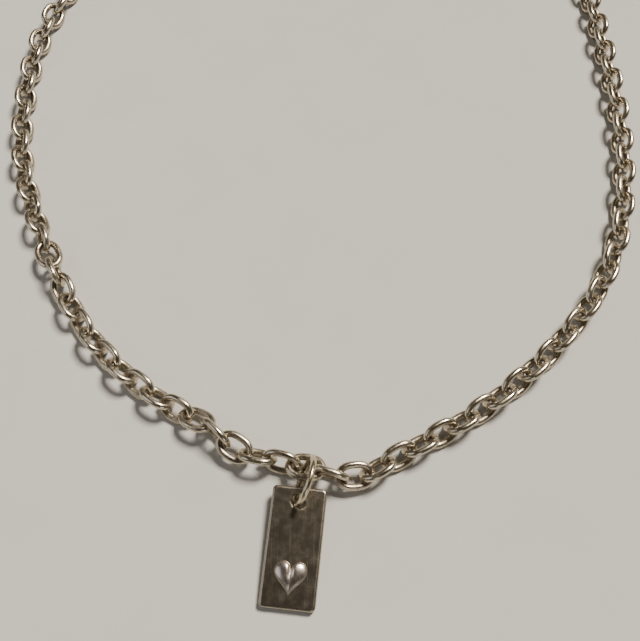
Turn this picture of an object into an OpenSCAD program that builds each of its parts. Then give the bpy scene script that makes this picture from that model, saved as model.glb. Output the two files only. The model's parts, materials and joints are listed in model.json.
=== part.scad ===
// Pendant necklace: a small rectangular tag with a raised heart hangs from a large
// jump ring on a cable chain of oval links, which ends in a lobster clasp and a ring.
// It lies on its back with the clasp undone and the pendant toward -Y.
// Millimetres, +Z up. Both halves of the chain are counted outward from the front link.

/* [Chain] */
// Diameter of the round wire the links are bent from
wire_d = 1.25; // [1:0.05:1.3]
// Width of a link over its two side wires
link_w = 5.0; // [4.8:0.1:5.4]
// Distance from one link joint to the next
pitch = 4.2; // [4.0:0.1:4.8]
// Loose play left in every joint
play = 0.35; // [0.3:0.05:0.5]
// Roll of the links to either side of level
link_roll = 45; // [40:1:50]

/* [Tag] */
// Width of the tag
tag_w = 8.9; // [6:0.1:12]
// Length of the tag
tag_l = 18.8; // [12:0.1:26]
// Thickness of the tag
tag_t = 1.3; // [0.8:0.1:2]
// Bevel round the edges of the tag
tag_bevel = 0.3; // [0.1:0.05:0.5]
// Radius of the corners of the tag
tag_corner = 0.5; // [0.2:0.1:1.5]
// Diameter of the hole near the top of the tag
tag_hole_d = 2.5; // [2:0.1:3]
// Distance from the top edge to the middle of the hole
tag_hole_drop = 2.25; // [1.9:0.05:3]
// Distance from the bottom edge to the middle of the heart
heart_up = 4.5; // [3.5:0.1:8]
// Width of the heart
heart_w = 5.2; // [3:0.1:6]
// Length of the heart from the lobes to the point
heart_l = 5.4; // [3:0.1:7]
// Height of the heart above the face
heart_h = 0.75; // [0.3:0.05:1.2]

/* [Pendant ring] */
// Outer diameter of the ring that carries the tag
ring_od = 8.9; // [8:0.1:11]
// Wire of that ring
ring_wire = 1.0; // [0.8:0.05:1.2]

/* [Clasp] */
// Outer diameter of the two small rings at the ends of the chain
end_ring_od = 6.6; // [6:0.1:7.4]
// Wire of the eye of the clasp
eye_wire = 1.0; // [0.8:0.05:1.2]
// Wire of the claw
claw_wire = 1.7; // [1.4:0.1:2]
// Thickness of the clasp body
clasp_t = 2.6; // [2.2:0.1:3]

/* [Hidden] */
$fn = 48;
silver = [0.78, 0.76, 0.72];
steel = [0.70, 0.71, 0.72];
links_per_side = 50;
links_per_segment = 5;
// Puts the middle of the whole bounding box on the origin
middle = [-2.591, -69.311, 0];

link_l = pitch + 2 * wire_d + play;
bend_r = (link_w - wire_d) / 2;
straight = link_l - link_w;
wire_in = (wire_d + play) / 2;

small_r = (end_ring_od - wire_d) / 2;
small_step = end_ring_od - 2 * wire_d - play;
end_roll = 60;

// Directions of the chain in degrees as [link number, heading]
right_route = [[0, -10], [1, -19], [2, 7], [3, 31], [4, 28], [6, 28], [9, 36], [12, 44], [15, 52],
  [18, 65], [21, 76], [25, 84], [29, 90], [33, 91], [37, 94], [42, 125], [50, 178]];
left_route = [[0, 170], [1, 165], [2, 168], [3, 148], [4, 136], [5, 154], [8, 143], [11, 130],
  [14, 118], [17, 115], [20, 111], [24, 97], [28, 90], [32, 75], [37, 68], [42, 48], [50, 5]];
// Slow twists of the chain in degrees as [link number, twist]
right_twist = [[0, -57], [3, 0], [50, 0]];
left_twist = [[0, 0], [1, -14], [6, 90], [13, 90], [18, 180], [50, 180]];

function heading(route, k) = [cos(lookup(k, route)), sin(lookup(k, route)), 0];
function roll_right(k) = (k % 2 == 0 ? link_roll : -link_roll) + lookup(k, right_twist);
function roll_left(k) = k == 0 ? -roll_right(0)
  : (k % 2 == 0 ? link_roll : -link_roll) + lookup(k, left_twist);
function half_height(roll) = bend_r * abs(sin(roll)) + wire_d / 2;
function walk(route) = [for (k = 1, p = heading(route, 0) * pitch / 2; k <= links_per_side + 1;
  p = p + heading(route, k) * pitch, k = k + 1) p];
right_flat = walk(right_route);
left_flat = walk(left_route);
right_rolls = [for (k = [0:links_per_side]) roll_right(k)];
left_rolls = [for (k = [0:links_per_side]) roll_left(k)];

// Joint k lies between link k and link k + 1 and is as high as the taller of the two
function joint_z(rolls, k) = k == links_per_side ? small_r * abs(sin(end_roll)) + wire_d / 2
  : max(half_height(rolls[k]), half_height(rolls[k + 1]));
right_joints = [for (k = [0:links_per_side]) right_flat[k] + [0, 0, joint_z(right_rolls, k)]];
left_joints = [for (k = [0:links_per_side]) left_flat[k] + [0, 0, joint_z(left_rolls, k)]];

function unit(v) = v / norm(v);
function across(dir) = unit(cross([0, 0, 1], dir));
function axis_u(dir, roll) = cos(roll) * across(dir) + sin(roll) * cross(dir, across(dir));
function axes(at, x, y) = let (z = cross(x, y))
  [[x[0], y[0], z[0], at[0]], [x[1], y[1], z[1], at[1]], [x[2], y[2], z[2], at[2]], [0, 0, 0, 1]];

module place(from, to, roll) {
  dir = unit(to - from);
  multmatrix(axes((from + to) / 2 + middle, dir, axis_u(dir, roll))) children();
}

module half_turn(radius, wire) {
  rotate([0, 0, -90]) rotate_extrude(angle = 180) translate([radius, 0]) circle(d = wire);
}

module link() {
  for (end = [0, 180]) rotate([0, 0, end]) {
    translate([straight / 2, 0, 0]) half_turn(bend_r, wire_d);
    translate([-straight / 2, bend_r, 0]) rotate([0, 90, 0]) cylinder(d = wire_d, h = straight);
  }
}

module run_of_links(joints, rolls, segment) {
  first = (segment - 1) * links_per_segment + 1;
  for (k = [first : first + links_per_segment - 1])
    place(joints[k - 1], joints[k], rolls[k]) link();
}

module front_link() {
  color(silver) place(left_joints[0], right_joints[0], right_rolls[0]) link();
}
module right_segment_1() { color(silver) run_of_links(right_joints, right_rolls, 1); }
module right_segment_2() { color(silver) run_of_links(right_joints, right_rolls, 2); }
module right_segment_3() { color(silver) run_of_links(right_joints, right_rolls, 3); }
module right_segment_4() { color(silver) run_of_links(right_joints, right_rolls, 4); }
module right_segment_5() { color(silver) run_of_links(right_joints, right_rolls, 5); }
module right_segment_6() { color(silver) run_of_links(right_joints, right_rolls, 6); }
module right_segment_7() { color(silver) run_of_links(right_joints, right_rolls, 7); }
module right_segment_8() { color(silver) run_of_links(right_joints, right_rolls, 8); }
module right_segment_9() { color(silver) run_of_links(right_joints, right_rolls, 9); }
module right_segment_10() { color(silver) run_of_links(right_joints, right_rolls, 10); }
module left_segment_1() { color(silver) run_of_links(left_joints, left_rolls, 1); }
module left_segment_2() { color(silver) run_of_links(left_joints, left_rolls, 2); }
module left_segment_3() { color(silver) run_of_links(left_joints, left_rolls, 3); }
module left_segment_4() { color(silver) run_of_links(left_joints, left_rolls, 4); }
module left_segment_5() { color(silver) run_of_links(left_joints, left_rolls, 5); }
module left_segment_6() { color(silver) run_of_links(left_joints, left_rolls, 6); }
module left_segment_7() { color(silver) run_of_links(left_joints, left_rolls, 7); }
module left_segment_8() { color(silver) run_of_links(left_joints, left_rolls, 8); }
module left_segment_9() { color(silver) run_of_links(left_joints, left_rolls, 9); }
module left_segment_10() { color(silver) run_of_links(left_joints, left_rolls, 10); }

// The tag, its heart and its ring share a frame: origin on the underside of the tag under
// the hole, +Y toward the chain. The tag rests on its bottom edge and on the ring wire.
tag_turn = -6.5;
hole_at = [-1.05, -5.55, 0];
tag_rise = 1.56;
tag_tip = asin(tag_rise / (tag_l - tag_hole_drop));
ring_turn = -15.2;
ring_lean = 15.4;
ring_r = (ring_od - ring_wire) / 2;
ring_z = ring_r * cos(ring_lean) + ring_wire / 2;
ring_at = [-0.11, -2.82, 0];

module on_tag() {
  translate(hole_at + middle + [0, 0, tag_rise]) rotate([0, 0, tag_turn]) rotate([tag_tip, 0, 0])
    children();
}

module tag_profile(size, depth) {
  polygon([[-size / 2, tag_bevel], [-size / 2 + tag_bevel, 0], [size / 2 - tag_bevel, 0],
    [size / 2, tag_bevel], [size / 2, depth - tag_bevel], [size / 2 - tag_bevel, depth],
    [-size / 2 + tag_bevel, depth], [-size / 2, depth - tag_bevel]]);
}

module tag() {
  color(silver) on_tag() difference() {
    translate([0, tag_hole_drop - tag_l / 2, 0]) intersection() {
      translate([0, tag_l / 2, 0]) rotate([90, 0, 0]) linear_extrude(tag_l) tag_profile(tag_w, tag_t);
      translate([-tag_w / 2, 0, 0]) rotate([90, 0, 90]) linear_extrude(tag_w)
        tag_profile(tag_l, tag_t);
      linear_extrude(tag_t) tag_outline();
    }
    translate([0, 0, -1]) cylinder(d = tag_hole_d, h = tag_t + 2);
  }
}

module tag_outline() {
  x = tag_w / 2 - tag_corner;
  y = tag_l / 2 - tag_corner;
  square([tag_w, 2 * y], center = true);
  square([2 * x, tag_l], center = true);
  for (sx = [-1, 1]) for (sy = [-1, 1]) translate([sx * x, sy * y]) circle(r = tag_corner);
}

// The heart is two domed lobes that run together to a point, cut off level with the face
lobe_r = heart_w * 0.29;
lobe_y = heart_l / 2 - lobe_r;
module lobe(side) {
  hull() {
    translate([side * (heart_w / 2 - lobe_r), lobe_y, 0]) scale([1, 1, heart_h / lobe_r])
      sphere(r = lobe_r, $fn = 40);
    translate([0, -heart_l / 2 + 0.3, 0]) scale([1, 1, 0.9]) sphere(r = 0.3, $fn = 24);
  }
}
module heart() {
  color(silver) on_tag() translate([0, tag_hole_drop - tag_l + heart_up, tag_t]) intersection() {
    union() {
      lobe(-1);
      lobe(1);
    }
    translate([-heart_w, -heart_l, 0]) cube([2 * heart_w, 2 * heart_l, 2 * heart_h]);
  }
}

module pendant_ring() {
  color(silver) translate(ring_at + middle + [0, 0, ring_z]) rotate([0, 0, ring_turn])
    rotate([0, 90 + ring_lean, 0]) rotate_extrude() translate([ring_r, 0]) circle(d = ring_wire);
}

// The two small rings stand steeply on edge at the last joint of their half
module small_ring() {
  rotate_extrude() translate([small_r, 0]) circle(d = wire_d);
}
function ring_joint(route, joints) = joints[links_per_side]
  + heading(route, links_per_side) * small_step;

module clasp_ring() {
  color(silver) place(right_joints[links_per_side], ring_joint(right_route, right_joints), -end_roll)
    small_ring();
}
module end_ring() {
  color(silver) place(left_joints[links_per_side], ring_joint(left_route, left_joints), -end_roll)
    small_ring();
}

// The clasp lies in its own frame: origin at its joint with the ring, +X toward the claw
clasp_drop = 10;
clasp_tilt = 12;
eye_r = 1.4;
eye_x = eye_r - (eye_wire + play) / 2;
body_x = 4.5;
body_r = 2.3;
claw_x = 8.4;
claw_r = 2.3;
claw_from = 195;
claw_to = 422;
pivot = [5.3, 1.1, 0];
lever_tip = [8.75, 0.65, 0];
lever_t = 1.0;
lever_w = 0.9;
barrel_r = 0.85;
knob_turn = 122;
knob_reach = 1.9;
knob_r = 0.6;
slot_t = 1.3;
pin_d = 0.8;
pin_play = 0.1;

module on_clasp() {
  dir = heading(right_route, links_per_side);
  multmatrix(axes(ring_joint(right_route, right_joints) + middle, dir, across(dir)))
    rotate([clasp_tilt, clasp_drop, 0]) children();
}

module clasp_body() {
  color(silver) on_clasp() difference() {
    union() {
      translate([eye_x, 0, 0]) rotate_extrude() translate([eye_r, 0]) circle(d = eye_wire);
      intersection() {
        translate([body_x, 0, 0]) sphere(r = body_r);
        translate([0, -5, -clasp_t / 2]) cube([10, 10, clasp_t]);
      }
      translate([claw_x, 0, 0]) rotate([0, 0, claw_from])
        rotate_extrude(angle = claw_to - claw_from) translate([claw_r, 0]) circle(d = claw_wire);
      translate([claw_x, 0, 0] + claw_r * [cos(claw_to), sin(claw_to), 0]) sphere(d = claw_wire);
    }
    translate([2.9, -0.3, -slot_t / 2]) cube([4.2, 4, slot_t]);
    translate(pivot - [0, 0, clasp_t]) cylinder(d = pin_d + pin_play, h = 2 * clasp_t);
  }
}

// The lever is a flat arm with a rounded tip, a barrel round the pin and a thumb knob
module clasp_lever() {
  arm = lever_tip - pivot;
  knob = knob_reach * [cos(knob_turn), sin(knob_turn), 0];
  color(silver) on_clasp() translate(pivot - [0, 0, lever_t / 2]) linear_extrude(lever_t)
    difference() {
      union() {
        circle(r = barrel_r);
        rotate(atan2(arm[1], arm[0])) translate([0, -lever_w / 2]) square([norm(arm), lever_w]);
        translate([arm[0], arm[1]]) circle(d = lever_w);
        rotate(knob_turn) translate([0, -lever_w / 2]) square([knob_reach, lever_w]);
        translate([knob[0], knob[1]]) circle(r = knob_r);
      }
      circle(d = pin_d + 2 * pin_play);
    }
}

module clasp_pin() {
  color(steel) on_clasp() translate(pivot - [0, 0, clasp_t / 2 - 0.2])
    cylinder(d = pin_d, h = clasp_t - 0.4);
}

// A bent wire spring sits in the slot behind the lever
module clasp_spring() {
  color(steel) on_clasp() translate([3.5, 0.15, 0]) rotate([0, 0, -90]) {
    rotate_extrude(angle = 180) translate([0.3, 0]) circle(d = 0.25, $fn = 24);
    for (x = [-0.3, 0.3]) translate([x, 0, 0]) rotate([90, 0, 0]) cylinder(d = 0.25, h = 0.5, $fn = 24);
  }
}

front_link();
right_segment_1();
right_segment_2();
right_segment_3();
right_segment_4();
right_segment_5();
right_segment_6();
right_segment_7();
right_segment_8();
right_segment_9();
right_segment_10();
left_segment_1();
left_segment_2();
left_segment_3();
left_segment_4();
left_segment_5();
left_segment_6();
left_segment_7();
left_segment_8();
left_segment_9();
left_segment_10();
end_ring();
clasp_ring();
clasp_body();
clasp_lever();
clasp_pin();
clasp_spring();
pendant_ring();
tag();
heart();
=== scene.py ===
import json
import math
import random

import bpy
import numpy as np
from mathutils import Matrix, Vector


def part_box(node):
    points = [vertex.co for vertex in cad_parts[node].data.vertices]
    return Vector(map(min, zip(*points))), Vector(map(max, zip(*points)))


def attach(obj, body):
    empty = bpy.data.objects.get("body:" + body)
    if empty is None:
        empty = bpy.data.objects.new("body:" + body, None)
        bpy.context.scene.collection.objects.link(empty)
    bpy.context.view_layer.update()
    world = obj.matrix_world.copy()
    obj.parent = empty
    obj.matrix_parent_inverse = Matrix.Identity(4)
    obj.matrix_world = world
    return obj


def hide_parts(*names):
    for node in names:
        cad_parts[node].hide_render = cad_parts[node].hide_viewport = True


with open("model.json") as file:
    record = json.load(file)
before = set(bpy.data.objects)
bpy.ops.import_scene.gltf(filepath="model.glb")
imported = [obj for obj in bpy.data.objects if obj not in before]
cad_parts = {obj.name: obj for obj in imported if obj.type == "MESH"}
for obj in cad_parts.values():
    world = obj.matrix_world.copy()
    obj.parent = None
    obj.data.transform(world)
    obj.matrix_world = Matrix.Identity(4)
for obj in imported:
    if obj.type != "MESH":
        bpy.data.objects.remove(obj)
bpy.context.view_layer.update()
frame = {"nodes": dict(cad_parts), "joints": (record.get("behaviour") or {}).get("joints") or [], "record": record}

MM = 0.001
dice = random.Random(11)
body_of = {n: b for b, nodes in frame["record"]["behaviour"]["bodies"].items() for n in nodes}
slot_of = {s["node"]: s["material_slot"] for s in frame["record"]["subparts"]}
joints = {j["name"]: j for j in frame["joints"]}

# Real sizes of the wire and the links, in millimetres
LINK_LENGTH = 7.05
LINK_WIDTH = 5.0
WIRE = 1.25
LINK_STEPS = 88
WIRE_SIDES = 18
# How far the sides of a link bow from straight bars toward a true oval
OVAL = 0.6
# Share of the nominal wire that is left after wear, and how much a solder seam stands proud
WORN_WIRE = 0.98
SEAM_RISE = 0.02
SEAM_REACH = 0.22


# ---------- where the CAD pieces are ----------

def solids(node):
    """The separate solids of a CAD node, each as its triangles, in metres."""
    mesh = frame["nodes"][node].data
    mesh.calc_loop_triangles()
    points = np.array([v.co for v in mesh.vertices])
    keys, index = np.unique(np.round(points * 1e7).astype(np.int64), axis=0,
                            return_inverse=True)
    triangles = index.reshape(-1)[np.array([t.vertices for t in mesh.loop_triangles])]
    label = np.arange(len(keys))
    while True:
        lowest = label[triangles].min(axis=1)
        joined = label.copy()
        for corner in range(3):
            np.minimum.at(joined, triangles[:, corner], lowest)
        joined = joined[joined]
        if (joined == label).all():
            break
        label = joined
    owner = label[triangles[:, 0]]
    return [keys[triangles[owner == r]] / 1e7 for r in np.unique(owner)]


def own_frame(triangles):
    """Centre of a solid and its long, middle and short directions."""
    a, b, c = triangles[:, 0], triangles[:, 1], triangles[:, 2]
    area = np.linalg.norm(np.cross(b - a, c - a), axis=1)
    middle = (a + b + c) / 3
    mean = (middle * area[:, None]).sum(0) / area.sum()
    spread = ((middle - mean) * area[:, None]).T @ (middle - mean)
    values, vectors = np.linalg.eigh(spread)
    long, wide = vectors[:, 2], vectors[:, 1]
    directions = np.array([long, wide, np.cross(long, wide)])
    along = triangles.reshape(-1, 3) @ directions.T
    return (along.min(0) + along.max(0)) / 2 @ directions, directions


def matrix(centre, x, y, z):
    m = Matrix.Identity(4)
    for i, column in enumerate((x, y, z, centre)):
        for row in range(3):
            m[row][i] = float(column[row])
    return m


# ---------- mesh helpers ----------

class Shape:
    """Vertices in metres with their faces and two surface values: tarnish with painted shade, and tone."""

    def __init__(self):
        self.points, self.faces, self.grime, self.tone = [], [], [], []

    def add(self, points, faces, grime=None, tone=0.5):
        first = sum(len(p) for p in self.points)
        self.points.append(np.asarray(points, float))
        self.faces += [[first + i for i in f] for f in faces]
        self.grime.append(np.zeros(len(points)) if grime is None else np.asarray(grime))
        self.tone.append(np.full(len(points), tone))

    def piece(self, name, sharp=None, place=None):
        mesh = bpy.data.meshes.new(name)
        mesh.from_pydata(np.vstack(self.points).tolist(), [], self.faces)
        if place is not None:
            mesh.transform(place)
        for label, values in (("grime", self.grime), ("tone", self.tone)):
            layer = mesh.attributes.new(label, "FLOAT", "POINT")
            layer.data.foreach_set("value", np.concatenate(values).astype(np.float32))
        mesh.shade_smooth()
        if sharp is not None:
            mesh.set_sharp_from_angle(angle=math.radians(sharp))
        mesh.validate()
        piece = bpy.data.objects.new(name, mesh)
        bpy.context.scene.collection.objects.link(piece)
        return piece


def grid_faces(rows, columns, closed_rows, closed_columns=True):
    faces = []
    for i in range(rows if closed_rows else rows - 1):
        for j in range(columns if closed_columns else columns - 1):
            a, b = i, (i + 1) % rows
            c, d = j, (j + 1) % columns
            faces.append([a * columns + c, b * columns + c, b * columns + d, a * columns + d])
    return faces


def tube(path, radius, closed, flat_ends=False, depth=1.0):
    """A round wire along a flat path that runs anticlockwise, ends domed unless flat."""
    path = np.asarray(path, float)
    radius = np.broadcast_to(np.asarray(radius, float), (len(path),)).copy()
    if closed:
        direction = np.roll(path, -1, 0) - np.roll(path, 1, 0)
    else:
        direction = np.gradient(path, axis=0)
    direction /= np.linalg.norm(direction, axis=1)[:, None]
    if not closed and not flat_ends:
        dome = np.radians([15, 35, 55, 72, 86])
        first = [path[0] - direction[0] * radius[0] * math.sin(a) for a in dome[::-1]]
        last = [path[-1] + direction[-1] * radius[-1] * math.sin(a) for a in dome]
        path = np.vstack([first, path, last])
        radius = np.concatenate([radius[0] * np.cos(dome[::-1]), radius,
                                 radius[-1] * np.cos(dome)])
        direction = np.vstack([[direction[0]] * 5, direction, [direction[-1]] * 5])
    outward = np.c_[direction[:, 1], -direction[:, 0]]
    turn = np.linspace(0, 2 * math.pi, WIRE_SIDES, endpoint=False)
    points = np.zeros((len(path), WIRE_SIDES, 3))
    points[:, :, :2] = path[:, None, :] + outward[:, None, :] * (
        radius[:, None] * np.cos(turn)[None, :])[:, :, None]
    points[:, :, 2] = depth * radius[:, None] * np.sin(turn)[None, :]
    faces = [f[::-1] for f in grid_faces(len(path), WIRE_SIDES, closed)]
    if not closed:
        faces.append(list(range(WIRE_SIDES)))
        faces.append([(len(path) - 1) * WIRE_SIDES + i for i in range(WIRE_SIDES)][::-1])
    inside = np.broadcast_to((1 - np.cos(turn)) / 2, (len(path), WIRE_SIDES))
    return points.reshape(-1, 3), faces, inside.reshape(-1)


def link_path():
    """Centreline of an oval link, in metres."""
    bend = (LINK_WIDTH - WIRE) / 2
    half = (LINK_LENGTH - LINK_WIDTH) / 2
    reach = half + bend
    around = 2 * math.pi * bend + 4 * half
    points = []
    for s in np.linspace(0, around, LINK_STEPS, endpoint=False):
        if s < 2 * half:
            x, y = s - half, -bend
        elif s < 2 * half + math.pi * bend:
            a = (s - 2 * half) / bend - math.pi / 2
            x, y = half + bend * math.cos(a), bend * math.sin(a)
        elif s < 4 * half + math.pi * bend:
            x, y = half - (s - 2 * half - math.pi * bend), bend
        else:
            a = (s - 4 * half - math.pi * bend) / bend + math.pi / 2
            x, y = -half + bend * math.cos(a), bend * math.sin(a)
        a = math.atan2(y / bend, x / reach)
        points.append([x + OVAL * (reach * math.cos(a) - x),
                       y + OVAL * (bend * math.sin(a) - y)])
    return np.array(points) * MM


LINK_PATH = link_path()


def add_link(shape, triangles):
    """One oval link in the place of a CAD link, with its solder seam and small dents."""
    centre, directions = own_frame(triangles)
    steps = np.arange(LINK_STEPS) / LINK_STEPS * 2 * math.pi
    seam = np.exp(-((LINK_PATH[:, 0] / MM - dice.uniform(-0.4, 0.4)) / SEAM_REACH) ** 2)
    seam *= LINK_PATH[:, 1] < 0
    uneven = sum(dice.uniform(0.001, 0.004) * np.sin(n * steps + dice.uniform(0, 6.3))
                 for n in (2, 3, 5))
    radius = WIRE / 2 * MM * (WORN_WIRE + uneven + SEAM_RISE * seam)
    points, faces, inside = tube(LINK_PATH, radius, True)
    ends = np.abs(points[:, 0]) / (LINK_LENGTH / 2 * MM)
    # Painted shade with tarnish: darker on the inner side of the wire, most at the ends where links hang in each
    # other; the solder seam is a little darker too
    grime = inside ** 1.5 * (0.55 + 0.45 * ends ** 2) + 0.25 * np.repeat(seam, WIRE_SIDES)
    shape.add(centre + points @ directions, faces, grime, dice.random())


# ---------- materials ----------

def nodes_of(material):
    material.use_nodes = True
    return material.node_tree


def noise(tree, coords, scale, detail, stretch=(1, 1, 1), turn=0.0, rough=0.55):
    mapping = tree.nodes.new("ShaderNodeMapping")
    mapping.inputs["Scale"].default_value = stretch
    mapping.inputs["Rotation"].default_value = (0, 0, turn)
    tree.links.new(coords, mapping.inputs["Vector"])
    node = tree.nodes.new("ShaderNodeTexNoise")
    node.inputs["Scale"].default_value = scale
    node.inputs["Detail"].default_value = detail
    node.inputs["Roughness"].default_value = rough
    tree.links.new(mapping.outputs["Vector"], node.inputs["Vector"])
    return node.outputs["Fac"]


def remap(tree, value, low, high, to_low=0.0, to_high=1.0):
    node = tree.nodes.new("ShaderNodeMapRange")
    node.inputs["From Min"].default_value = low
    node.inputs["From Max"].default_value = high
    node.inputs["To Min"].default_value = to_low
    node.inputs["To Max"].default_value = to_high
    tree.links.new(value, node.inputs["Value"])
    return node.outputs["Result"]


def combine(tree, operation, a, b):
    node = tree.nodes.new("ShaderNodeMath")
    node.operation = operation
    node.use_clamp = True
    for socket, value in zip(node.inputs, (a, b)):
        if isinstance(value, (int, float)):
            socket.default_value = value
        else:
            tree.links.new(value, socket)
    return node.outputs["Value"]


def blend_colour(tree, share, a, b):
    node = tree.nodes.new("ShaderNodeMix")
    node.data_type = "RGBA"
    tree.links.new(share, node.inputs["Factor"])
    for socket, value in ((node.inputs["A"], a), (node.inputs["B"], b)):
        if isinstance(value, tuple):
            socket.default_value = (*value, 1)
        else:
            tree.links.new(value, socket)
    return node.outputs["Result"]


def metal(name, bright, tarnish_shade_colour, smooth, worn, tarnish_shade_strength, scratches, lines=0.0):
    """Aged silver: toned colour, patchy polish, tarnish where nothing rubs together with painted shade in hollows
    and where parts meet, fine scratches.
    lines is how strongly long straight scratches show on a flat face."""
    material = bpy.data.materials.new(name)
    tree = nodes_of(material)
    shader = tree.nodes["Principled BSDF"]
    shader.inputs["Metallic"].default_value = 1.0
    coords = tree.nodes.new("ShaderNodeTexCoord").outputs["Object"]
    grime = tree.nodes.new("ShaderNodeAttribute")
    grime.attribute_name = "grime"
    tone = tree.nodes.new("ShaderNodeAttribute")
    tone.attribute_name = "tone"

    patches = noise(tree, coords, 700, 5)
    specks = noise(tree, coords, 5200, 4)
    # Painted shade with real tarnish: the surface value, high in hollows and where parts meet, mixes in the dark
    # colour, broken up by specks
    recess_tarnish_and_shade = combine(tree, "MULTIPLY", grime.outputs["Fac"],
                     remap(tree, specks, 0.3, 0.65, 0.5, 1.0))
    film = remap(tree, patches, 0.42, 0.75, 0.0, 0.35)
    # Share toward the dark colour: random tarnish film plus tarnish and painted shade from the surface value
    share = combine(tree, "MULTIPLY", combine(tree, "ADD", recess_tarnish_and_shade, film), tarnish_shade_strength)
    toned = blend_colour(tree, remap(tree, tone.outputs["Fac"], 0, 1, 0.0, 0.5),
                         bright, tuple(0.86 * c for c in bright))
    colour = blend_colour(tree, share, toned, tarnish_shade_colour)
    tree.links.new(colour, shader.inputs["Base Color"])

    rubbed = remap(tree, patches, 0.35, 0.7, smooth, worn)
    rough = combine(tree, "ADD", rubbed, combine(tree, "MULTIPLY", share, 0.25))

    fine = noise(tree, coords, 1000, 3, (9, 0.7, 5), 0.6)
    crossing = noise(tree, coords, 1000, 3, (0.8, 8, 5), -0.3)
    height = combine(tree, "MULTIPLY", combine(tree, "ADD", fine, crossing), 0.5)
    if lines:
        for stretch, turn, low in (((30, 0.25, 1), 0.35, 0.66), ((26, 0.3, 1), -0.7, 0.67),
                                   ((34, 0.2, 1), 1.25, 0.67)):
            cut = remap(tree, noise(tree, coords, 260, 2, stretch, turn), low, 0.78)
            height = combine(tree, "SUBTRACT", height, combine(tree, "MULTIPLY", cut, lines))
            rough = combine(tree, "ADD", rough, combine(tree, "MULTIPLY", cut, 0.25 * lines))
    tree.links.new(rough, shader.inputs["Roughness"])
    bump = tree.nodes.new("ShaderNodeBump")
    bump.inputs["Strength"].default_value = scratches
    bump.inputs["Distance"].default_value = 0.02 * MM
    tree.links.new(height, bump.inputs["Height"])
    tree.links.new(bump.outputs["Normal"], shader.inputs["Normal"])
    return material


SILVER = (0.61, 0.545, 0.435)
# Dark brown for tarnish, and for painted shade in hollows and where parts meet
TARNISH_SHADE_COLOUR = (0.17, 0.125, 0.075)
MATERIALS = {
    "chain_silver": metal("chain silver", SILVER, TARNISH_SHADE_COLOUR, 0.16, 0.30, 1.0, 0.35),
    "tag_silver": metal("tag silver", (0.41, 0.365, 0.295), (0.28, 0.24, 0.19), 0.22, 0.26,
                        0.4, 0.18, lines=0.30),
    "heart_silver": metal("heart silver", (0.74, 0.66, 0.60), (0.30, 0.24, 0.18), 0.21,
                          0.27, 0.7, 0.25),
    "ring_silver": metal("ring silver", (0.66, 0.59, 0.43), TARNISH_SHADE_COLOUR, 0.14, 0.26, 0.7, 0.35),
    "clasp_silver": metal("clasp silver", SILVER, TARNISH_SHADE_COLOUR, 0.18, 0.30, 0.8, 0.4),
    "pin_steel": metal("pin steel", (0.62, 0.62, 0.61), (0.28, 0.26, 0.24), 0.22, 0.36,
                       0.5, 0.5),
}


def install(piece, node):
    """The piece stands for a CAD node, rides on its body and takes its finish."""
    piece.data.materials.clear()
    piece.data.materials.append(MATERIALS[slot_of[node]])
    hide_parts(node)
    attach(piece, body_of[node])
    return piece


# ---------- the chain ----------

for node in sorted(frame["nodes"]):
    if node == "front_link" or "segment" in node:
        shape = Shape()
        for triangles in solids(node):
            add_link(shape, triangles)
        install(shape.piece(node + "_links"), node)


# ---------- the rings ----------

def ring(node, diameter, wire, cut):
    """A ring of wire, with a hairline cut where it was closed if it is a jump ring."""
    centre, directions = own_frame(solids(node)[0])
    around = (diameter - wire) / 2 * MM
    if cut:
        gap = 0.05 * MM / around
        turn = np.linspace(gap / 2, 2 * math.pi - gap / 2, 170)
    else:
        turn = np.linspace(0, 2 * math.pi, 120, endpoint=False)
    uneven = 0.006 * np.sin(3 * turn + dice.uniform(0, 6)) + 0.005 * np.sin(
        7 * turn + dice.uniform(0, 6))
    path = around * np.c_[np.cos(turn), np.sin(turn)]
    points, faces, inside = tube(path, wire / 2 * MM * (0.99 + uneven), not cut, True)
    shape = Shape()
    # Tarnish and painted shade on the inner side of the ring wire, where it holds the links
    shape.add(points, faces, 0.7 * inside ** 2, dice.random())
    place = matrix(centre, directions[0], directions[1], directions[2])
    return install(shape.piece(node + "_wire", 50, place), node)


ring("pendant_ring", 8.9, 1.0, True)
ring("end_ring", 6.6, WIRE, False)
ring("clasp_ring", 6.6, WIRE, False)


# ---------- the tag and its heart ----------

TAG_WIDTH = 8.9
TAG_LENGTH = 18.8
TAG_THICK = 1.3
TAG_CORNER = 0.75
TAG_ROUND = 0.42
HOLE_DROP = 2.25
HOLE_RADIUS = 1.25
HOLE_ROUND = 0.16
FACE_LOOPS = 16
# Tarnish and painted shade in the hole and how far it spreads, painted shade on the rim, and painted shade on the
# back
HOLE_TARNISH_AND_SHADE = 0.6
TARNISH_SHADE_REACH = 0.8
EDGE_PAINTED_SHADE = 0.45
BACK_PAINTED_SHADE = 0.7

tag_centre, tag_axes = own_frame(solids("tag")[0])
tag_up = tag_axes[2] * (1 if tag_axes[2][2] > 0 else -1)
ring_centre = own_frame(solids("pendant_ring")[0])[0]
tag_long = tag_axes[0] * (1 if (ring_centre - tag_centre) @ tag_axes[0] > 0 else -1)
tag_side = np.cross(tag_long, tag_up)
TAG_PLACE = matrix(tag_centre, tag_side, tag_long, tag_up)


def tag_edge(direction, inset):
    """Distance from the hole's middle to the rounded outline of the tag, moved inward."""
    hx, hy = TAG_WIDTH / 2 - inset, TAG_LENGTH / 2 - inset
    corner = max(TAG_CORNER - inset, 0.05)
    origin = np.array([0, TAG_LENGTH / 2 - HOLE_DROP])
    low, high = 0.0, TAG_LENGTH
    for _ in range(40):
        middle = (low + high) / 2
        x, y = np.abs(origin + direction * middle)
        ox, oy = max(x - hx + corner, 0), max(y - hy + corner, 0)
        inside = x <= hx and y <= hy and math.hypot(ox, oy) <= corner
        low, high = (middle, high) if inside else (low, middle)
    return low


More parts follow.
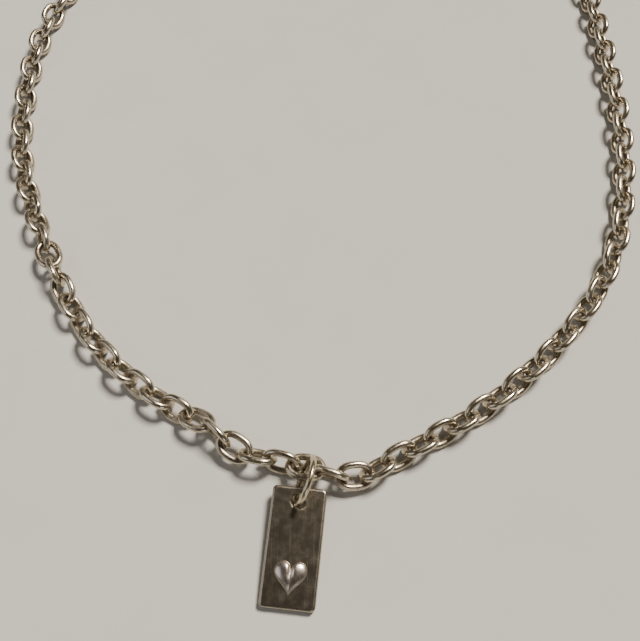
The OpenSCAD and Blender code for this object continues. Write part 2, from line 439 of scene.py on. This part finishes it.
def tag_directions():
    """Directions from the hole, crowded where the outline turns its corners."""
    outline = []
    hx, hy, c = TAG_WIDTH / 2, TAG_LENGTH / 2, TAG_CORNER
    for sx, sy, start in ((1, 1, 0), (-1, 1, 90), (-1, -1, 180), (1, -1, 270)):
        for a in np.radians(np.linspace(start, start + 90, 14)):
            outline.append([sx * (hx - c) + c * math.cos(a), sy * (hy - c) + c * math.sin(a)])
    straight = []
    for i in range(len(outline)):
        p, q = np.array(outline[i]), np.array(outline[(i + 1) % len(outline)])
        count = max(1, int(np.linalg.norm(q - p) / 0.35))
        straight += [p + (q - p) * k / count for k in range(count)]
    around = np.array(straight) - [0, TAG_LENGTH / 2 - HOLE_DROP]
    return around / np.linalg.norm(around, axis=1)[:, None]


def tag_shape():
    rays = tag_directions()
    origin = np.array([0, TAG_LENGTH / 2 - HOLE_DROP])
    half = TAG_THICK / 2
    # Loops from the hole out over the top and round the edge, and the same back underneath:
    # (where, radius at the hole or share of the way out or inset at the edge, height, tarnish and painted shade)
    loops = []
    for a in np.radians(np.linspace(0, 90, 6)):
        loops.append(("hole", HOLE_RADIUS + HOLE_ROUND * (1 - math.cos(a)),
                      half - HOLE_ROUND * (1 - math.sin(a)), HOLE_TARNISH_AND_SHADE))
    for share in np.linspace(0.02, 0.98, FACE_LOOPS):
        loops.append(("face", share, half, 0.0))
    for a in np.radians(np.linspace(90, 0, 7)):
        loops.append(("edge", TAG_ROUND * (1 - math.cos(a)),
                      half - TAG_ROUND * (1 - math.sin(a)), EDGE_PAINTED_SHADE))
    whole = loops + [(kind, value, -z, grime) for kind, value, z, grime in loops[::-1]]
    edge = {}
    points, grime = [], []
    for kind, value, z, tarnish_shade_level in whole:
        for i, ray in enumerate(rays):
            if kind == "hole":
                reach = value
            else:
                inset = value if kind == "edge" else TAG_ROUND
                key = (i, round(inset, 4))
                if key not in edge:
                    edge[key] = tag_edge(ray, inset)
                reach = edge[key]
                if kind == "face":
                    start = HOLE_RADIUS + HOLE_ROUND
                    reach = start + value * (reach - start)
            x, y = origin + ray * reach
            points.append([x * MM, y * MM, z * MM])
            near = max(0.0, 1 - (reach - HOLE_RADIUS) / TARNISH_SHADE_REACH)
            # Painted shade: darker on the rounded rim and all over the back, and tarnish with painted shade in and
            # around the hole where the ring sits
            grime.append(max(tarnish_shade_level, HOLE_TARNISH_AND_SHADE * near) if z > 0 else BACK_PAINTED_SHADE)
    shape = Shape()
    shape.add(points, grid_faces(len(whole), len(rays), True), grime)
    return shape


install(tag_shape().piece("tag_plate", 55, TAG_PLACE), "tag")

HEART_WIDTH = 5.2
HEART_LENGTH = 5.4
HEART_HEIGHT = 0.75
HEART_UP = 4.5
# The dome rises from the outline to its middle, this far above the middle of the outline
HEART_MIDDLE = 0.5
DOME_POWER, DOME_ROUND = 2.6, 0.55
# How deep and how wide the fold between the lobes is, where it ends and how softly
FOLD_DEPTH = 0.42
FOLD_WIDTH = 0.42
FOLD_END = 0.35
FOLD_FADE = 0.42
# How much lower the dome is at the point than at the top of the lobes
POINT_DROP = 0.22


def heart_outline(columns):
    """The heart seen from above, point down, filling its width and length in mm."""
    turn = np.linspace(0, 2 * math.pi, columns, endpoint=False)
    x = 16 * np.sin(turn) ** 3
    y = 13 * np.cos(turn) - 5 * np.cos(2 * turn) - 2 * np.cos(3 * turn) - np.cos(4 * turn)
    middle = (y.max() + y.min()) / 2
    return np.c_[x / np.ptp(x) * HEART_WIDTH, (y - middle) / np.ptp(y) * HEART_LENGTH]


def heart_shape():
    """Rings of points from the outline of the heart to its middle, raised to its height."""
    columns, rings = 160, 44
    outline = heart_outline(columns)
    middle = np.array([0, HEART_MIDDLE])
    points, grime = [], []
    for k in list(range(rings, 0, -1)) + [0.1]:
        share = math.sin(k / rings * math.pi / 2)
        flat = middle + (outline - middle) * share
        upper = 1 / (1 + np.exp(-(flat[:, 1] - FOLD_END) / FOLD_FADE))
        fold = FOLD_DEPTH * np.exp(-(flat[:, 0] / FOLD_WIDTH) ** 2) * upper
        lower = POINT_DROP * (HEART_LENGTH / 2 - flat[:, 1]) / HEART_LENGTH
        level = (1 - share ** DOME_POWER) ** DOME_ROUND * (1 - fold) * (1 - lower)
        points += [[x * MM, y * MM, HEART_HEIGHT * z * MM] for (x, y), z in zip(flat, level)]
        # Tarnish and painted shade: darkest round the foot of the dome where it meets the plate, rising toward the
        # outline, and in the fold between the lobes
        grime += [1.0 if share > 0.99 else 0.5 * share ** 6 + f for f in 0.8 * fold]
    rows = rings + 1
    faces = grid_faces(rows, columns, False)
    faces.append([(rows - 1) * columns + i for i in range(columns)])
    faces.append(list(range(columns))[::-1])
    shape = Shape()
    shape.add(points, faces, grime)
    return shape


heart_place = TAG_PLACE @ Matrix.Translation(
    Vector((0, (HEART_UP - TAG_LENGTH / 2) * MM, (TAG_THICK / 2 - 0.02) * MM)))
install(heart_shape().piece("heart_dome", None, heart_place), "heart")


# ---------- the clasp ----------

CLASP = {
    "thick": 2.6, "eye": 1.4, "eye_wire": 1.0, "eye_x": 0.725,
    "body_x": 4.5, "body": 2.3, "claw_x": 8.4, "claw": 2.3, "claw_from": 195,
    "claw_to": 422, "pivot": (5.3, 1.1), "lever_tip": (8.75, 0.65), "lever": 1.0,
    "arm": 0.9, "barrel": 0.85, "knob_turn": 122, "knob_reach": 1.9, "knob": 0.6,
    "slot": 1.3, "slot_from": (2.9, -0.3), "slot_to": (7.1, 3.7), "pin": 0.8,
    "spring_at": (3.5, 0.15), "spring_bend": 0.3, "spring_wire": 0.25,
}


# How far a wire's middle lies past the point where two rings hang together
WIRE_INWARD = 0.8


def clasp_frame():
    """The clasp's own axes, from its hinge and from where it hangs in its ring."""
    swing = np.array(joints["clasp_swing"]["pos_m"])
    outward = swing - own_frame(solids("clasp_ring")[0])[0]
    origin = swing - WIRE_INWARD * MM * outward / np.linalg.norm(outward)
    hinge = np.array(joints["lever_hinge"]["pos_m"])
    up = np.array(joints["lever_hinge"]["axis"])
    up = up * (1 if up[2] > 0 else -1)
    px, py = CLASP["pivot"]
    reach = hinge - origin
    reach -= up * (reach @ up)
    reach /= np.linalg.norm(reach)
    side = np.cross(up, reach)
    a = math.atan2(py, px)
    x = math.cos(a) * reach - math.sin(a) * side
    return matrix(origin, x, np.cross(up, x), up)


CLASP_PLACE = clasp_frame()


def ellipsoid(centre, radii, flat_top):
    """An ellipsoid cut flat at the given height above and below."""
    rows, columns = 40, 64
    points = []
    for i in range(rows):
        a = math.pi * (i + 0.5) / rows
        for j in range(columns):
            b = 2 * math.pi * j / columns
            z = max(-flat_top, min(flat_top, radii[2] * math.cos(a)))
            points.append([(centre[0] + radii[0] * math.sin(a) * math.cos(b)) * MM,
                           (centre[1] + radii[1] * math.sin(a) * math.sin(b)) * MM, z * MM])
    faces = grid_faces(rows, columns, False)
    faces += [list(range(columns))[::-1],
              [(rows - 1) * columns + i for i in range(columns)]]
    return points, faces


def bar(start, end, wide, thick):
    """A straight rounded bar from one point to another in the clasp's plane."""
    line = np.linspace(start, end, 12) * MM
    points, faces, _ = tube(line, wide / 2 * MM, False, depth=thick / wide)
    return points, faces


def cast(name, node, shape, cutters, smoothing):
    """Parts run together as one casting, then cut, with softened edges."""
    piece = shape.piece(name)
    remesh = piece.modifiers.new("cast", "REMESH")
    remesh.mode = "VOXEL"
    remesh.voxel_size = 0.1 * MM
    remesh.use_smooth_shade = True
    soften = piece.modifiers.new("soften", "SMOOTH")
    soften.iterations = smoothing
    soften.factor = 0.5
    blocks = []
    for cutter in cutters:
        block = cutter.piece(name + "_cut")
        blocks.append(block)
        cut = piece.modifiers.new("cut", "BOOLEAN")
        cut.operation = "DIFFERENCE"
        cut.solver = "EXACT"
        cut.object = block
    depsgraph = bpy.context.evaluated_depsgraph_get()
    mesh = bpy.data.meshes.new_from_object(piece.evaluated_get(depsgraph))
    piece.modifiers.clear()
    piece.data = mesh
    for block in blocks:
        bpy.data.objects.remove(block)
    for label, value in (("grime", 0.0), ("tone", 0.4)):
        layer = mesh.attributes.get(label) or mesh.attributes.new(label, "FLOAT", "POINT")
        layer.data.foreach_set("value", np.full(len(mesh.vertices), value, np.float32))
    mesh.transform(CLASP_PLACE)
    mesh.shade_smooth()
    mesh.set_sharp_from_angle(angle=math.radians(40))
    return install(piece, node)


def block(low, high):
    shape = Shape()
    corners = [[(low, high)[i][0] * MM, (low, high)[j][1] * MM, (low, high)[k][2] * MM]
               for i in (0, 1) for j in (0, 1) for k in (0, 1)]
    shape.add(corners, [[0, 1, 3, 2], [4, 6, 7, 5], [0, 4, 5, 1], [2, 3, 7, 6],
                        [0, 2, 6, 4], [1, 5, 7, 3]])
    return shape


def rod(at, radius, half, dome=0.0):
    """A short upright rod, its ends a little domed."""
    columns = 48
    levels = [(-half - dome, 0.35), (-half - dome * 0.8, 0.7), (-half, 1.0), (half, 1.0),
              (half + dome * 0.8, 0.7), (half + dome, 0.35)]
    if not dome:
        levels = [(-half, 1.0), (half, 1.0)]
    points = [[(at[0] + radius * share * math.cos(2 * math.pi * j / columns)) * MM,
               (at[1] + radius * share * math.sin(2 * math.pi * j / columns)) * MM, z * MM]
              for z, share in levels for j in range(columns)]
    faces = [f[::-1] for f in grid_faces(len(levels), columns, False)]
    faces += [list(range(columns))[::-1],
              [(len(levels) - 1) * columns + i for i in range(columns)]]
    shape = Shape()
    shape.add(points, faces, np.full(len(points), 0.2))
    return shape


clasp = Shape()
turn = np.linspace(0, 2 * math.pi, 90, endpoint=False)
eye = np.c_[np.cos(turn), np.sin(turn)] * CLASP["eye"] + [CLASP["eye_x"], 0]
clasp.add(*tube(eye * MM, CLASP["eye_wire"] / 2 * MM, True)[:2])
clasp.add(*ellipsoid((CLASP["body_x"], 0), [CLASP["body"]] * 3, CLASP["thick"] / 2))
turn = np.radians(np.linspace(CLASP["claw_from"], CLASP["claw_to"], 90))
claw = np.c_[np.cos(turn), np.sin(turn)] * CLASP["claw"] + [CLASP["claw_x"], 0]
clasp.add(*tube(claw * MM, np.linspace(0.86, 0.68, 90) * MM, False)[:2])
px, py = CLASP["pivot"]
cast("clasp_casting", "clasp_body", clasp,
     [block((*CLASP["slot_from"], -CLASP["slot"] / 2), (*CLASP["slot_to"], CLASP["slot"] / 2)),
      rod((px, py), CLASP["pin"] / 2 + 0.05, 3)], 6)

lever = Shape()
lever.add(*bar(CLASP["pivot"], CLASP["lever_tip"], CLASP["arm"], CLASP["lever"]))
a = math.radians(CLASP["knob_turn"])
knob = (px + CLASP["knob_reach"] * math.cos(a), py + CLASP["knob_reach"] * math.sin(a))
lever.add(*bar(CLASP["pivot"], knob, CLASP["arm"], CLASP["lever"]))
lever.add(*ellipsoid(knob, (CLASP["knob"], CLASP["knob"], 0.55), 0.5))
barrel = rod((px, py), CLASP["barrel"], CLASP["lever"] / 2)
lever.add(barrel.points[0], barrel.faces)
cast("clasp_thumb_lever", "clasp_lever", lever,
     [rod((px, py), CLASP["pin"] / 2 + 0.1, 3)], 3)

pin = rod((px, py), CLASP["pin"] / 2, CLASP["thick"] / 2 - 0.3, 0.1)
install(pin.piece("clasp_rivet", 50, CLASP_PLACE), "clasp_pin")

spring = Shape()
half_turn = np.radians(np.linspace(180, 360, 30))
reach = CLASP["spring_bend"]
bend = np.c_[np.cos(half_turn), np.sin(half_turn)] * reach
path = np.vstack([[[-reach, 0.5]], bend, [[reach, 0.5]]])
points, faces, inside = tube(path * MM, CLASP["spring_wire"] / 2 * MM, False)
# Tarnish and painted shade on the inner side of the bent spring wire
spring.add(points, faces, 0.5 * inside)
spring_place = CLASP_PLACE @ Matrix.Translation(Vector((*CLASP["spring_at"], 0)) * MM) \
    @ Matrix.Rotation(math.radians(90), 4, "Z")
install(spring.piece("clasp_spring_wire", None, spring_place), "clasp_spring")


# ---------- the floor, the light and the camera ----------

def pale_floor():
    material = bpy.data.materials.new("pale floor")
    tree = nodes_of(material)
    shader = tree.nodes["Principled BSDF"]
    coords = tree.nodes.new("ShaderNodeTexCoord").outputs["Object"]
    grain = noise(tree, coords, 60, 6)
    tree.links.new(blend_colour(tree, remap(tree, grain, 0.3, 0.7), (0.56, 0.55, 0.52),
                                (0.60, 0.59, 0.56)), shader.inputs["Base Color"])
    tree.links.new(remap(tree, grain, 0.3, 0.7, 0.75, 0.9), shader.inputs["Roughness"])
    return material


FLOOR_HALF = 2.0
floor_shape = Shape()
floor_shape.add([[x * FLOOR_HALF, y * FLOOR_HALF, 0]
                 for x, y in ((-1, -1), (1, -1), (1, 1), (-1, 1))], [[0, 1, 2, 3]])
floor = floor_shape.piece("floor")
floor.data.materials.append(pale_floor())

link_low, link_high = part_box("front_link")
front = (link_low + link_high) / 2


def aimed(location, target):
    """Rotation that points a lamp or a camera at the target."""
    return (Vector(target) - Vector(location)).to_track_quat("-Z", "Y").to_euler()


def lamp(name, kind, location, energy, colour):
    data = bpy.data.lights.new(name, kind)
    data.energy = energy
    data.color = colour
    light = bpy.data.objects.new(name, data)
    bpy.context.scene.collection.objects.link(light)
    light.location = location
    light.rotation_euler = aimed(location, (0, 0, 0))
    return data


key = lamp("key", "SUN", (0.21, 0.24, 0.42), 5.6, (1.0, 0.92, 0.80))
key.angle = math.radians(17)
for name, location, size, power, colour in (
        ("fill", (-0.40, -0.10, 0.34), 0.40, 0.40, (0.95, 0.96, 1.0)),
        ("front", (0.10, -0.45, 0.20), 0.20, 0.16, (1.0, 0.96, 0.90))):
    data = lamp(name, "AREA", location, power, colour)
    data.shape = "DISK"
    data.size = size

world = bpy.data.worlds.new("studio")
bpy.context.scene.world = world
world.use_nodes = True
tree = world.node_tree
background = tree.nodes["Background"]
direction = tree.nodes.new("ShaderNodeTexCoord").outputs["Generated"]
split = tree.nodes.new("ShaderNodeSeparateXYZ")
tree.links.new(direction, split.inputs["Vector"])
height = remap(tree, split.outputs["Z"], 0.0, 0.75)
tree.links.new(blend_colour(tree, height, (0.24, 0.225, 0.20), (0.05, 0.042, 0.033)),
               background.inputs["Color"])
background.inputs["Strength"].default_value = 1.0

# The camera's place from the middle of the front link, in millimetres, and its turns
CAMERA_SIDE = 2.44
CAMERA_BACK = 33.58
CAMERA_HEIGHT = 122.92
CAMERA_TILT = 26.77
CAMERA_ROLL = -0.19
camera_data = bpy.data.cameras.new("camera")
camera_data.sensor_fit = "HORIZONTAL"
camera_data.sensor_width = 36
camera_data.lens = 41.625
camera_data.clip_start = 0.005
camera_data.clip_end = 20
camera = bpy.data.objects.new("camera", camera_data)
bpy.context.scene.collection.objects.link(camera)
camera.location = (front.x + CAMERA_SIDE * MM, front.y - CAMERA_BACK * MM, CAMERA_HEIGHT * MM)
camera.rotation_euler = (Matrix.Rotation(math.radians(CAMERA_TILT), 3, "X")
                         @ Matrix.Rotation(math.radians(CAMERA_ROLL), 3, "Z")).to_euler()
bpy.context.scene.camera = camera
